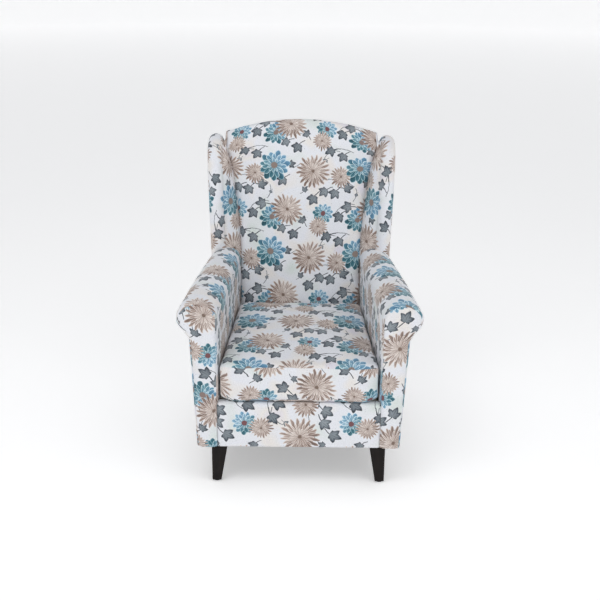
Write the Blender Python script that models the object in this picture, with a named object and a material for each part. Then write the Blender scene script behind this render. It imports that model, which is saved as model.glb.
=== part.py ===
"""Wing armchair: a hardwood frame with a sprung seat, a padded back, wings and rolled arms, and a loose seat cushion.

Metres, +Z up. The origin is on the floor under the middle of the chair, and the chair faces -Y.
Depths are measured backwards from the front plane, so each piece reads from front to back.
Left is -X and right is +X, as seen from the front.
"""

import math

import bmesh
import bpy
from mathutils import Vector

# Driving sizes of the whole chair.
OVERALL_DEPTH = 0.800
FRONT = -OVERALL_DEPTH / 2
BASE_Z = 0.145  # underside of the upholstered base
GAP = 0.0005  # clearance that touching solids keep
SKIN = 0.005  # card and cloth of an outside panel
PAD = 0.018  # wadding and foam over the arm frame

# Legs and glides.
LEG_OUTER_X = 0.283
LEG_TOP = 0.054
LEG_FOOT = 0.030
FRONT_LEG_DEPTH = 0.030
REAR_LEG_DEPTH = 0.573
REAR_LEG_RAKE = 0.062  # how far the rear foot's front edge lies behind the top's
GLIDE_HEIGHT = 0.004
GLIDE_RADIUS = 0.011
BOLT_RADIUS = 0.004
BOLT_REACH = 0.034  # into the leg, and into the corner block
BOLT_CLEARANCE = 0.0006

# Seat frame.
FRAME_Z = 0.147
RAIL_TOP = 0.262
BLOCK_TOP = 0.190
BOARD = 0.025  # thickness of the rails
RAIL_INNER_X = 0.281
FRONT_RAIL_DEPTH = 0.0145
POST_THICK = 0.022
FACING_THICK = 0.012

# Arms: the roll is an ellipse in section, wider at the front than at the wing.
ARM_TOP = 0.638
ROLL_HALF_HEIGHT = 0.050
ARM_END = 0.600  # depth where the arm pad stops, under the wing
ARM_INNER = (0.2595, 0.2165)  # front, rear
ARM_OUTER = (0.384, 0.3205)
ARM_PAD_FOOT = 0.266
ROLL_END_ANGLE = (-60.0, -12.0)  # where the roll tucks under, front and rear
WALL_X = (0.328, 0.346)  # outside of the arm at the front, at the base and under the roll
WALL_TOP = 0.535
SEAM_Z = (0.538, 0.5745)  # top of the outside arm panel, front and rear

# Back, crest and wings.
OUTER_BACK = ((0.665, BASE_Z), (0.800, 1.024))  # depth and height of the outside back's foot and top
SIDE_X = (0.314, 0.336)  # half width of the back outside, at the base and at the top
POST_DEEP = 0.050
POST_TOP = 0.945
CREST_DROP = 0.047  # how much lower the crest is at its corners
CREST_HALF = 0.273
BACK_HALF = (0.2155, CREST_HALF)
BACK_CROWN = 0.014
BACK_FOOT = 0.301
BACK_PROFILE = (
    (0.520, BACK_FOOT),
    (0.545, 0.430),
    (0.582, 0.570),
    (0.625, 0.730),
    (0.667, 0.890),
    (0.690, 0.975),
    (0.708, 1.030),
    (0.745, 1.069),
    (0.785, 1.056),
    (0.800, 1.0245),
)
BACK_BEHIND = ((0.6285, BACK_FOOT), (0.7305, 0.970))
CREST_BEHIND = ((0.7335, 1.0365), (0.7610, 1.0365), (0.7890, 1.0365), (0.7890, 1.0245))
BACK_ROWS = 19
WING_FIRST_ROW = 6
WING_EDGE = (
    (0.556, 0.590),
    (0.553, 0.660),
    (0.557, 0.740),
    (0.572, 0.835),
    (0.597, 0.918),
    (0.634, 0.981),
    (0.685, 1.012),
    (0.735, 1.018),
    (0.776, 1.006),
    (0.7985, 0.980),
)
WING_ROLL = 0.026  # radius of the wing's padded edge
WING_BOARD_HALF = 0.008
WING_LEG = 0.040  # how far the wing's padding wraps on the outside

# Seat suspension, deck and cushion.
SPRING_COUNT = 5
SPRING_PITCH = 0.090
SPRING_LOOPS = 14
SPRING_HALF_WIDTH = 0.022
SPRING_WIRE = 0.002
SPRING_RISE = 0.016
SPRING_SPAN = (0.027, 0.663)
DECK_TOP = 0.298
DECK_THICK = 0.012
LIP_DEPTH = 0.0335
CUSHION_FOOT = 0.2985
CUSHION_EDGE = 0.416  # its front top edge
CUSHION_RISE = 0.026  # how much higher the rear top edge is
CUSHION_CROWN = 0.018
CUSHION_HALF = (0.2560, 0.2165)
CUSHION_FRONT = 0.003
CUSHION_REAR = (0.505, 0.535)  # at the foot and at the top edge
COVER_THICK = 0.002
ZIP_HALF_LENGTH = 0.150
ZIP_Z = 0.345
SLOT_HALF_HEIGHT = 0.004

SIDES = (("left", -1), ("right", 1))


def clear_scene():
    for obj in list(bpy.data.objects):
        bpy.data.objects.remove(obj, do_unlink=True)


def material(name, colour, roughness, metallic=0.0):
    made = bpy.data.materials.new(name)
    made.use_nodes = True
    shader = made.node_tree.nodes["Principled BSDF"]
    shader.inputs["Base Color"].default_value = (*colour, 1.0)
    shader.inputs["Roughness"].default_value = roughness
    shader.inputs["Metallic"].default_value = metallic
    made.diffuse_color = (*colour, 1.0)
    return made


def make_materials():
    return {
        "cloth": material("printed_cloth", (0.72, 0.72, 0.72), 0.85),
        "foam": material("seat_foam", (0.86, 0.80, 0.60), 0.90),
        "frame": material("frame_beech", (0.62, 0.46, 0.30), 0.60),
        "leg": material("stained_leg_wood", (0.035, 0.025, 0.022), 0.35),
        "steel": material("spring_steel", (0.45, 0.45, 0.47), 0.35, 1.0),
        "web": material("jute_webbing", (0.50, 0.38, 0.24), 0.90),
        "felt": material("deck_felt", (0.55, 0.53, 0.50), 0.95),
        "lining": material("black_lining", (0.02, 0.02, 0.02), 0.95),
        "plastic": material("glide_plastic", (0.06, 0.06, 0.06), 0.45),
    }


# Geometry helpers. A place is (x, depth, z), with the depth measured from the front plane.


def point(x, depth, z):
    return Vector((x, FRONT + depth, z))


def mix(pair, t):
    return pair[0] + (pair[1] - pair[0]) * t


def add_object(name, points, faces, finish):
    """A closed mesh with its faces pointing out."""
    mesh = bpy.data.meshes.new(name)
    bm = bmesh.new()
    verts = [bm.verts.new(p) for p in points]
    for face in faces:
        bm.faces.new([verts[i] for i in face])
    bmesh.ops.recalc_face_normals(bm, faces=bm.faces)
    bm.to_mesh(mesh)
    bm.free()
    mesh.materials.append(finish)
    mesh.shade_smooth()
    mesh.set_sharp_from_angle(angle=math.radians(35))
    obj = bpy.data.objects.new(name, mesh)
    bpy.context.scene.collection.objects.link(obj)
    return obj


def slab(name, shown, hidden, finish):
    """A pad between two grids of points of the same size: the face that shows and the one behind it."""
    rows, cols = len(shown), len(shown[0])
    points = [p for grid in (shown, hidden) for row in grid for p in row]
    back = rows * cols

    def at(r, c):
        return r * cols + c

    faces = []
    for r in range(rows - 1):
        for c in range(cols - 1):
            quad = [at(r, c), at(r, c + 1), at(r + 1, c + 1), at(r + 1, c)]
            faces.append(quad)
            faces.append([back + i for i in reversed(quad)])
    rim = [at(0, c) for c in range(cols)]
    rim += [at(r, cols - 1) for r in range(1, rows)]
    rim += [at(rows - 1, c) for c in range(cols - 2, -1, -1)]
    rim += [at(r, 0) for r in range(rows - 2, 0, -1)]
    for i, j in zip(rim, rim[1:] + rim[:1]):
        faces.append([j, i, back + i, back + j])
    return add_object(name, points, faces, finish)


def loft(name, sections, finish):
    """A solid through closed loops with the same number of points, capped at both ends."""
    count = len(sections[0])
    points = [p for section in sections for p in section]
    faces = [list(range(count)), [len(points) - count + i for i in range(count)]]
    for s in range(len(sections) - 1):
        for i in range(count):
            j = (i + 1) % count
            faces.append([s * count + i, s * count + j, (s + 1) * count + j, (s + 1) * count + i])
    return add_object(name, points, faces, finish)


def rod(name, x, depth, z_low, z_high, radius, finish, sides=16):
    sections = []
    for z in (z_low, z_high):
        angles = [2 * math.pi * i / sides for i in range(sides)]
        sections.append([point(x + radius * math.cos(a), depth + radius * math.sin(a), z) for a in angles])
    return loft(name, sections, finish)


def bar(name, x, depth, z, finish):
    """A straight board. x, depth and z are (low, high), and a depth may be a function of the height."""
    sections = []
    for z_here in z:
        near, far = [d(z_here) if callable(d) else d for d in depth]
        sections.append(
            [point(x[0], near, z_here), point(x[1], near, z_here), point(x[1], far, z_here), point(x[0], far, z_here)]
        )
    return loft(name, sections, finish)


def cut(target, *cutters):
    """Takes the cutters away from the target. A cutter is a helper and isn't a part."""
    for cutter in cutters:
        cutter.hide_render = True
        cutter.display_type = "WIRE"
        change = target.modifiers.new("cut_" + cutter.name, "BOOLEAN")
        change.operation = "DIFFERENCE"
        change.solver = "EXACT"
        change.object = cutter


def along_line(points, count):
    """Points evenly spaced along straight runs."""
    lengths = [math.dist(a, b) for a, b in zip(points, points[1:])]
    total = sum(lengths)
    found = []
    for i in range(count):
        left = total * i / (count - 1)
        run = 0
        while run < len(lengths) - 1 and left > lengths[run]:
            left -= lengths[run]
            run += 1
        t = left / lengths[run]
        found.append(tuple(a + (b - a) * t for a, b in zip(points[run], points[run + 1])))
    return found


def along_curve(points, count, fineness=12):
    """Points evenly spaced along a smooth (Catmull-Rom) curve through the given ones."""
    padded = [points[0], *points, points[-1]]
    fine = []
    for a, b, c, d in zip(padded, padded[1:], padded[2:], padded[3:]):
        for i in range(fineness):
            t = i / fineness
            fine.append(
                tuple(
                    0.5 * (2 * q + (r - p) * t + (2 * p - 5 * q + 4 * r - s) * t**2 + (3 * q - p - 3 * r + s) * t**3)
                    for p, q, r, s in zip(a, b, c, d)
                )
            )
    fine.append(tuple(points[-1]))
    return along_line(fine, count)


# Shapes that several pieces share.


def outer_back(z):
    """Depth of the outside back at a height."""
    (d0, z0), (d1, z1) = OUTER_BACK
    return d0 + (d1 - d0) * (z - z0) / (z1 - z0)


def side_x(z):
    """Half width of the outside of the chair at the back: it flares towards the top."""
    return mix(SIDE_X, ((z - BASE_Z) / (OUTER_BACK[1][1] - BASE_Z)) ** 2)


def wall_x(depth, z):
    """Outside of the arm, which runs into the outside of the back."""
    front = mix(WALL_X, (z - BASE_Z) / (WALL_TOP - BASE_Z))
    return mix((front, side_x(z)), depth / OUTER_BACK[0][0])


def back_half(z):
    """Half width of the back pad: held between the arms, and wider towards the crest."""
    rise = min(1.0, max(0.0, (z - 0.56) / 0.46))
    return mix(BACK_HALF, rise**1.7)


def crest_drop(x):
    return CREST_DROP * min(1.0, (x / CREST_HALF) ** 2)


def arm_arc(depth, inset, steps=14):
    """The arm's roll in section as (x, z), from its inner side over the top to where it tucks under."""
    t = depth / ARM_END
    inner, outer = mix(ARM_INNER, t), mix(ARM_OUTER, t)
    wide, high = (outer - inner) / 2 - inset, ROLL_HALF_HEIGHT - inset
    end = mix(ROLL_END_ANGLE, t)
    found = []
    for i in range(steps + 1):
        angle = math.radians(180 + (end - 180) * i / steps)
        found.append(
            ((inner + outer) / 2 + wide * math.cos(angle), ARM_TOP - ROLL_HALF_HEIGHT + high * math.sin(angle))
        )
    return found


def arm_outline(depth, inset, foot):
    """The whole arm in section, with its outside wall."""
    arc = arm_arc(depth, inset)
    seam = mix(SEAM_Z, depth / ARM_END)
    return [
        (arc[0][0], foot),
        *arc,
        (wall_x(depth, seam) - inset, seam - 0.003),
        (wall_x(depth, foot) - inset, foot),
    ]


def section(outline, side, depth):
    return [point(side * x, depth, z) for x, z in outline]


def inward(curve, distance):
    """A curve of (depth, z) moved at right angles towards the inside of the wing."""
    moved = []
    for i, (d, z) in enumerate(curve):
        before, after = curve[max(0, i - 1)], curve[min(len(curve) - 1, i + 1)]
        run, rise = after[0] - before[0], after[1] - before[1]
        length = math.hypot(run, rise)
        moved.append((d + rise / length * distance, z - run / length * distance))
    return moved


# Legs.


def leg(name, side, depth, rake, finish):
    outer = side * LEG_OUTER_X
    foot_z, top_z = GLIDE_HEIGHT + GAP, BASE_Z - GAP
    sections = []
    for z, wide, back in ((foot_z, LEG_FOOT, rake), (top_z, LEG_TOP, 0.0)):
        inner = outer - side * wide
        near, far = depth + back, depth + back + wide
        sections.append([point(outer, near, z), point(inner, near, z), point(inner, far, z), point(outer, far, z)])
    made = loft(name, sections, finish)
    softened = made.modifiers.new("eased_edges", "BEVEL")
    softened.width = 0.0015
    softened.segments = 1
    return made


def add_legs(mat):
    """Four tapered legs, each with a nailed glide and a bolt into its corner block."""
    holes = []
    for row, depth, rake in (("front", FRONT_LEG_DEPTH, 0.0), ("rear", REAR_LEG_DEPTH, REAR_LEG_RAKE)):
        for label, side in SIDES:
            tag = f"{row}_{label}"
            made = leg(f"leg_{tag}", side, depth, rake, mat["leg"])
            foot_x = side * (LEG_OUTER_X - LEG_FOOT / 2)
            foot_depth = depth + rake + LEG_FOOT / 2
            rod(f"glide_{tag}", foot_x, foot_depth, 0.0, GLIDE_HEIGHT, GLIDE_RADIUS, mat["plastic"])
            bolt_x, bolt_depth = side * (LEG_OUTER_X - LEG_TOP / 2), depth + LEG_TOP / 2
            low, high = BASE_Z - BOLT_REACH, FRAME_Z + BOLT_REACH
            rod(f"leg_bolt_{tag}", bolt_x, bolt_depth, low, high, BOLT_RADIUS, mat["steel"], 12)
            hole = rod(
                f"bolt_hole_{tag}", bolt_x, bolt_depth, low - GAP, 0.2,
                BOLT_RADIUS + BOLT_CLEARANCE, mat["steel"], 12,
            )  # fmt: skip
            cut(made, hole)
            holes.append((tag, hole))
    return dict(holes)


# Hardwood frame.


def add_seat_frame(mat, holes):
    wood = mat["frame"]
    rear_face = FRONT_RAIL_DEPTH + BOARD
    post_inner = mix(ARM_INNER, rear_face / ARM_END) + PAD + GAP
    heights = (FRAME_Z, RAIL_TOP)
    bar(
        "front_rail", (-post_inner + GAP, post_inner - GAP), (FRONT_RAIL_DEPTH, rear_face), heights, wood
    )
    post_rear = FACING_THICK + GAP + POST_THICK
    for label, side in SIDES:
        ends = sorted((side * RAIL_INNER_X, side * (RAIL_INNER_X + BOARD)))
        bar(
            f"side_rail_{label}", ends,
            (post_rear + GAP, lambda z: outer_back(z) - SKIN - 0.002 - POST_DEEP - GAP), heights, wood,
        )  # fmt: skip
    inner = side_x(FRAME_Z) - 0.048 - GAP
    bar(
        "rear_rail", (-inner, inner),
        (lambda z: outer_back(z) - SKIN - 0.002 - BOARD, lambda z: outer_back(z) - SKIN - 0.002), heights, wood,
    )  # fmt: skip
    for label, side in SIDES:
        edge = RAIL_INNER_X - GAP
        front = rear_face + GAP
        plan = [(edge, front), (edge, front + 0.085), (edge - 0.018, front + 0.085), (0.195, front + 0.018), (0.195, front)]
        add_block(f"corner_block_front_{label}", plan, side, wood, holes[f"front_{label}"])
        rear = outer_back(FRAME_Z) - SKIN - 0.002 - BOARD - GAP
        near_post = outer_back(FRAME_Z) - SKIN - 0.002 - POST_DEEP - GAP
        plan = [
            (edge, near_post - 0.088), (edge, near_post), (inner, near_post), (inner, rear),
            (0.190, rear), (0.190, rear - 0.020), (edge - 0.018, near_post - 0.088),
        ]  # fmt: skip
        add_block(f"corner_block_rear_{label}", plan, side, wood, holes[f"rear_{label}"])


def add_block(name, plan, side, finish, hole):
    sections = [[point(side * x, d, z) for x, d in plan] for z in (FRAME_Z, BLOCK_TOP)]
    cut(loft(name, sections, finish), hole)


def add_arm_frame(mat):
    wood = mat["frame"]
    front = FACING_THICK + GAP
    for label, side in SIDES:
        sections = []
        for depth in (front, front + POST_THICK):
            sections.append(section(arm_outline(depth, PAD + 2 * GAP, FRAME_Z), side, depth))
        loft(f"arm_post_{label}", sections, wood)
        low, high = 0.555, 0.583
        near = front + POST_THICK + GAP
        sections = []
        for inner, outer, depths in (
            (0.293, 0.337, (near, near)),
            (0.258, 0.296, tuple(outer_back(z) - SKIN - 0.002 - POST_DEEP - GAP for z in (low, high))),
        ):
            sections.append(
                [
                    point(side * inner, depths[0], low), point(side * outer, depths[0], low),
                    point(side * outer, depths[1], high), point(side * inner, depths[1], high),
                ]  # fmt: skip
            )
        loft(f"arm_rail_{label}", sections, wood)


def add_back_frame(mat):
    wood = mat["frame"]
    for label, side in SIDES:
        sections = []
        for i in range(6):
            z = mix((FRAME_Z, POST_TOP), i / 5)
            rear = outer_back(z) - SKIN - 0.002
            inner, outer = side * (side_x(z) - 0.048), side * (side_x(z) - 0.010)
            near = rear - POST_DEEP
            sections.append([point(inner, near, z), point(outer, near, z), point(outer, rear, z), point(inner, rear, z)])
        loft(f"back_post_{label}", sections, wood)
    add_cross_rail("lower_back_rail", (0.395, 0.455), (0.055, 0.030), wood, arched=False)
    add_cross_rail("crest_rail", (0.925, 1.0335), (0.056, 0.0135), wood, arched=True)


def add_cross_rail(name, heights, offsets, finish, arched):
    """A rail between the back posts. The crest rail narrows above the posts, and its top follows the crest."""
    columns = 9 if arched else 2
    grids = []
    for offset in offsets:
        grid = []
        for z in heights:
            row = []
            top = arched and z == heights[1]
            for c in range(columns):
                u = -1 + 2 * c / (columns - 1)
                x = u * (side_x(heights[0]) - 0.048 - GAP - (0.018 if top else 0.0))
                drop = crest_drop(x) if top else 0.0
                row.append(point(x, outer_back(z - drop) - offset, z - drop))
            grid.append(row)
        grids.append(grid)
    slab(name, grids[0], grids[1], finish)


def add_wing_boards(mat):
    """A plywood board in each wing, from the arm rail to the back post."""
    edge = inward(along_curve(WING_EDGE, BACK_ROWS - WING_FIRST_ROW), WING_ROLL + 4 * GAP)
    foot, step = 0.5845, 0.640

    def post_face(z):
        return outer_back(z) - SKIN - 0.002 - POST_DEEP - GAP

    front = [(d, z) for d, z in edge if z > step + 0.005 and d < post_face(z) - 0.006]
    top_z = front[-1][1]
    outline = [
        (ARM_END + 0.003, foot), (ARM_END + 0.003, step), (front[0][0], step), *front,
        (post_face(top_z), top_z), (post_face(foot), foot),
    ]  # fmt: skip
    for label, side in SIDES:
        sections = []
        for offset in (-WING_BOARD_HALF, WING_BOARD_HALF):
            sections.append([point(side * (side_x(z) - WING_ROLL + offset), d, z) for d, z in outline])
        loft(f"wing_board_{label}", sections, mat["frame"])


# Springs, webbing and deck.


def add_springs(mat):
    """Sinuous seat springs from the front rail to the rear rail."""
    start, end = SPRING_SPAN
    loop = (end - start) / SPRING_LOOPS
    for n in range(SPRING_COUNT):
        x = (n - (SPRING_COUNT - 1) / 2) * SPRING_PITCH
        path = [(x, start)]
        for i in range(SPRING_LOOPS):
            way = 1 if i % 2 else -1
            for across, along in ((0.55, 0.10), (1.0, 0.35), (1.0, 0.65), (0.55, 0.90)):
                path.append((x + way * across * SPRING_HALF_WIDTH, start + (i + along) * loop))
        path.append((x, end))
        curve = bpy.data.curves.new(f"seat_spring_{n + 1}", "CURVE")
        curve.dimensions = "3D"
        curve.bevel_depth = SPRING_WIRE
        curve.bevel_resolution = 1
        curve.use_fill_caps = True
        spline = curve.splines.new("POLY")
        spline.points.add(len(path) - 1)
        for place, (px, depth) in zip(spline.points, path):
            t = (depth - start) / (end - start)
            rise = SPRING_RISE * math.sin(math.pi * t)
            place.co = (*point(px, depth, RAIL_TOP + SPRING_WIRE + GAP + rise), 1.0)
        curve.materials.append(mat["steel"])
        bpy.context.scene.collection.objects.link(bpy.data.objects.new(curve.name, curve))


def add_webbing(mat):
    """Straps across the front of the back posts, which carry the back pad."""
    for n, low in enumerate((0.480, 0.600, 0.720, 0.840)):
        heights = (low, low + 0.050)
        half = side_x(low) - 0.036
        post_face = SKIN + 0.002 + POST_DEEP
        bar(
            f"back_strap_{n + 1}", (-half, half),
            (lambda z: outer_back(z) - post_face - 0.0025, lambda z: outer_back(z) - post_face - GAP),
            heights, mat["web"],
        )  # fmt: skip


def flat_plan(name, front, rear, z, finish):
    """A flat sheet in plan: front and rear are (half width, depth)."""
    sections = []
    for height in z:
        sections.append(
            [
                point(-front[0], front[1], height), point(front[0], front[1], height),
                point(rear[0], rear[1], height), point(-rear[0], rear[1], height),
            ]  # fmt: skip
        )
    return loft(name, sections, finish)


def add_deck(mat, holes):
    near, far = LIP_DEPTH + GAP, 0.615
    half = [mix(ARM_INNER, d / ARM_END) - 0.001 for d in (near, far)]
    flat_plan("seat_deck", (half[0], near), (half[1], far), (DECK_TOP - DECK_THICK, DECK_TOP), mat["felt"])
    near, far = FRONT_RAIL_DEPTH, outer_back(BASE_Z) - 0.0065
    lining = flat_plan(
        "dust_cover",
        (wall_x(near, BASE_Z) - SKIN - GAP, near),
        (wall_x(far, BASE_Z) - SKIN - GAP, far),
        (BASE_Z + 0.0003, BASE_Z + 0.0015),
        mat["lining"],
    )
    cut(lining, *holes.values())


# Upholstery. Each pad is a plain closed solid with the true outer shape.


def add_arm_upholstery(mat):
    cloth = mat["cloth"]
    for label, side in SIDES:
        shown, hidden = [], []
        for i in range(4):
            depth = mix((FACING_THICK + GAP, ARM_END), i / 3)
            for grid, inset in ((shown, 0.0), (hidden, PAD)):
                arc = arm_arc(depth, inset)
                outline = [(arc[0][0], ARM_PAD_FOOT), (arc[0][0], 0.43), *arc]
                grid.append(section(outline, side, depth))
        slab(f"arm_pad_{label}", shown, hidden, cloth)
        outline = arm_outline(0.0, GAP, BASE_Z)
        loft(f"arm_facing_{label}", [section(outline, side, 0.0), section(outline, side, FACING_THICK)], cloth)
        grids = []
        for inset in (0.0, SKIN):
            grid = []
            for r in range(4):
                row = []
                for c in range(5):
                    depth = mix((FACING_THICK + GAP, outer_back(BASE_Z)), c / 4)
                    top = mix(SEAM_Z, min(1.0, depth / ARM_END)) - GAP
                    z = mix((BASE_Z, top), r / 3)
                    if c == 4:
                        depth = outer_back(z) - 0.0065
                    row.append(point(side * (wall_x(depth, z) - inset), depth, z))
                grid.append(row)
            grids.append(grid)
        slab(f"outside_arm_{label}", grids[0], grids[1], cloth)


def back_grid(rows, crown, columns=9):
    """Points over the back: rows up its profile, and columns across it. The top rows follow the crest's arch."""
    grid = []
    for depth, z in rows:
        half = back_half(z)
        arch = min(1.0, max(0.0, (z - 0.90) / 0.12))
        row = []
        for c in range(columns):
            u = -1 + 2 * c / (columns - 1)
            x = u * half
            row.append(point(x, depth + crown * u * u * (1 - arch), z - crest_drop(x) * arch))
        grid.append(row)
    return grid


def add_back_upholstery(mat):
    cloth = mat["cloth"]
    shown = back_grid(along_curve(BACK_PROFILE, BACK_ROWS), BACK_CROWN)
    behind = along_line(BACK_BEHIND, BACK_ROWS - len(CREST_BEHIND)) + list(CREST_BEHIND)
    hidden = back_grid(behind, 0.0)
    slab("back_pad", shown, hidden, cloth)
    grids = []
    for inset in (0.0, 0.006):
        grid = []
        for r in range(7):
            row = []
            for c in range(9):
                u = -1 + 2 * c / 8
                top = OUTER_BACK[1][1] - 0.003 - 1.15 * crest_drop(u * SIDE_X[1])
                z = mix((BASE_Z, top), r / 6)
                row.append(point(u * side_x(z), outer_back(z) - inset, z))
            grid.append(row)
        grids.append(grid)
    slab("outside_back", grids[0], grids[1], cloth)
    return shown


def wing_grid(side, crease, roll, leg_end, inner_push):
    """The wing's padding: from the crease at the back, out to the rolled edge, and round to the outside."""
    edge = along_curve(WING_EDGE, len(crease))
    shoulder = inward(edge, WING_ROLL)
    tail = inward(edge, leg_end)
    grid = []
    for (sd, sz), (ed, ez), (td, tz), root in zip(shoulder, edge, tail, crease):
        row = []
        board = side_x(root[2]) - WING_ROLL - roll
        start = Vector((root[0] + inner_push * (board - root[0]), root[1], root[2]))
        inner_side = Vector((side_x(sz) - WING_ROLL - roll, sd, sz))
        for i in range(4):
            row.append(start.lerp(inner_side, i / 4))
        for i in range(7):
            angle = math.pi * i / 6
            out, along = -math.cos(angle) * roll, math.sin(angle) * roll / WING_ROLL
            z = sz + (ez - sz) * along
            row.append(Vector((side_x(z) - WING_ROLL + out, sd + (ed - sd) * along, z)))
        row.append(Vector((side_x(tz) - WING_ROLL + roll, td, tz)))
        grid.append([point(side * p.x, p.y, p.z) for p in row])
    return grid


def add_wing_upholstery(mat, back_rows):
    cloth = mat["cloth"]
    for label, side in SIDES:
        crease = [(row[-1].x + GAP, row[-1].y - FRONT, row[-1].z) for row in back_rows[WING_FIRST_ROW:]]
        shown = wing_grid(side, crease, WING_ROLL, WING_LEG, 0.0)
        hidden = wing_grid(side, crease, WING_BOARD_HALF + GAP, WING_LEG, 1.0)
        pad = slab(f"wing_pad_{label}", shown, hidden, cloth)
        sections = []
        for depth in (0.30, ARM_END + GAP):
            outline = arm_outline(depth, -GAP, 0.30)
            sections.append(section(outline, side, depth))
        cut(pad, loft(f"arm_space_{label}", sections, cloth))
        rim = [
            (d, z)
            for d, z in inward(along_curve(WING_EDGE, BACK_ROWS - WING_FIRST_ROW), WING_LEG + 2 * GAP)
            if z > ARM_TOP + 0.004 and d < outer_back(z) - 0.012
        ]
        foot = SEAM_Z[1] + GAP
        outline = [
            (ARM_END + 0.0015, foot), (ARM_END + 0.0015, rim[0][1] - 0.002), *rim,
            (outer_back(rim[-1][1]) - 0.0065, rim[-1][1]), (outer_back(foot) - 0.0065, foot),
        ]  # fmt: skip
        sections = []
        for inset in (0.0, SKIN):
            sections.append([point(side * (side_x(z) - inset), d, z) for d, z in outline])
        loft(f"outside_wing_{label}", sections, cloth)


def add_front_border(mat):
    """The cloth over the front rail, with a lip that turns back under the cushion."""
    half = mix(ARM_INNER, LIP_DEPTH / ARM_END) - GAP
    face, back = 0.002, FRONT_RAIL_DEPTH - 0.001
    profile = [
        (face, BASE_Z), (face, DECK_TOP - 0.005), (face + 0.005, DECK_TOP), (LIP_DEPTH, DECK_TOP),
        (LIP_DEPTH, DECK_TOP - DECK_THICK), (back, DECK_TOP - DECK_THICK), (back, BASE_Z),
    ]  # fmt: skip
    loft("front_border", [[point(x, d, z) for d, z in profile] for x in (-half, half)], mat["cloth"])


# The loose seat cushion.


def cushion_place(u, v, level, inset):
    """A point of the cushion. u runs across and v from front to back, both -1 to 1; level is 0 at the foot, 1 at the top."""
    corner = 1 - 0.05 * abs(u) ** 6
    t = 0.5 + 0.5 * v * corner
    rear = mix(CUSHION_REAR, level) - inset
    near = CUSHION_FRONT + inset
    depth = near + (rear - near) * t
    half = mix(CUSHION_HALF, depth / ARM_END) - inset
    x = u * half * (1 - 0.06 * abs(v) ** 6)
    crown = CUSHION_CROWN * (1 - abs(u) ** 2.6) * (1 - abs(v) ** 2.6) if level == 1 else 0.0
    low, high = CUSHION_FOOT + inset, CUSHION_EDGE + CUSHION_RISE * t - inset
    return point(x, depth, low + (high - low) * level + crown)


def cushion_solid(name, inset, finish, steps=10):
    grids = []
    for level in (1, 0):
        grid = []
        for r in range(steps + 1):
            v = -1 + 2 * r / steps
            grid.append([cushion_place(-1 + 2 * c / steps, v, level, inset) for c in range(steps + 1)])
        grids.append(grid)
    return slab(name, grids[0], grids[1], finish)


def rear_of_cushion(z):
    """Depth of the cushion's rear face at a height."""
    return mix(CUSHION_REAR, (z - CUSHION_FOOT) / (CUSHION_EDGE + CUSHION_RISE - CUSHION_FOOT))


def add_cushion(mat):
    cover = cushion_solid("seat_cushion_cover", 0.0, mat["cloth"])
    room = cushion_solid("cover_room", COVER_THICK, mat["cloth"])
    cushion_solid("seat_foam", COVER_THICK + GAP, mat["foam"])
    slot_near = rear_of_cushion(ZIP_Z) - 0.012
    slot = bar(
        "zip_slot", (-ZIP_HALF_LENGTH, ZIP_HALF_LENGTH), (slot_near, slot_near + 0.03),
        (ZIP_Z - SLOT_HALF_HEIGHT, ZIP_Z + SLOT_HALF_HEIGHT), mat["cloth"],
    )  # fmt: skip
    cut(cover, room, slot)
    reach = ZIP_HALF_LENGTH + 0.010
    bar(
        "cushion_zip", (-reach, reach),
        (lambda z: rear_of_cushion(z) + GAP, lambda z: rear_of_cushion(z) + GAP + 0.0012),
        (ZIP_Z - 0.012, ZIP_Z + 0.012), mat["lining"],
    )  # fmt: skip
    add_zip_slider(mat)


def add_zip_slider(mat):
    """Slider and its pull tab, parked at the left end of the zip."""
    near = rear_of_cushion(ZIP_Z + 0.006) + GAP + 0.0012 + GAP
    left = -ZIP_HALF_LENGTH
    body = [(left, 0.004), (left, -0.004), (left + 0.009, -0.003), (left + 0.030, -0.002), (left + 0.030, 0.002), (left + 0.009, 0.003)]
    sections = [[point(x, d, ZIP_Z + dz) for x, dz in body] for d in (near, near + 0.003)]
    loft("zip_slider", sections, mat["steel"])


def main():
    clear_scene()
    mat = make_materials()
    holes = add_legs(mat)
    add_seat_frame(mat, holes)
    add_arm_frame(mat)
    add_back_frame(mat)
    add_wing_boards(mat)
    add_springs(mat)
    add_webbing(mat)
    add_deck(mat, holes)
    add_arm_upholstery(mat)
    back_rows = add_back_upholstery(mat)
    add_wing_upholstery(mat, back_rows)
    add_front_border(mat)
    add_cushion(mat)


main()
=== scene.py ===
"""Wing armchair in a printed cotton: the upholstery, its cloth and the show wood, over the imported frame.

Metres, +Z up. The chair faces -Y, left is -X, and depths are measured backwards from the front plane.
"""

import functools
import math

import bmesh
import bpy
from mathutils import Matrix, Vector, noise


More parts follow.
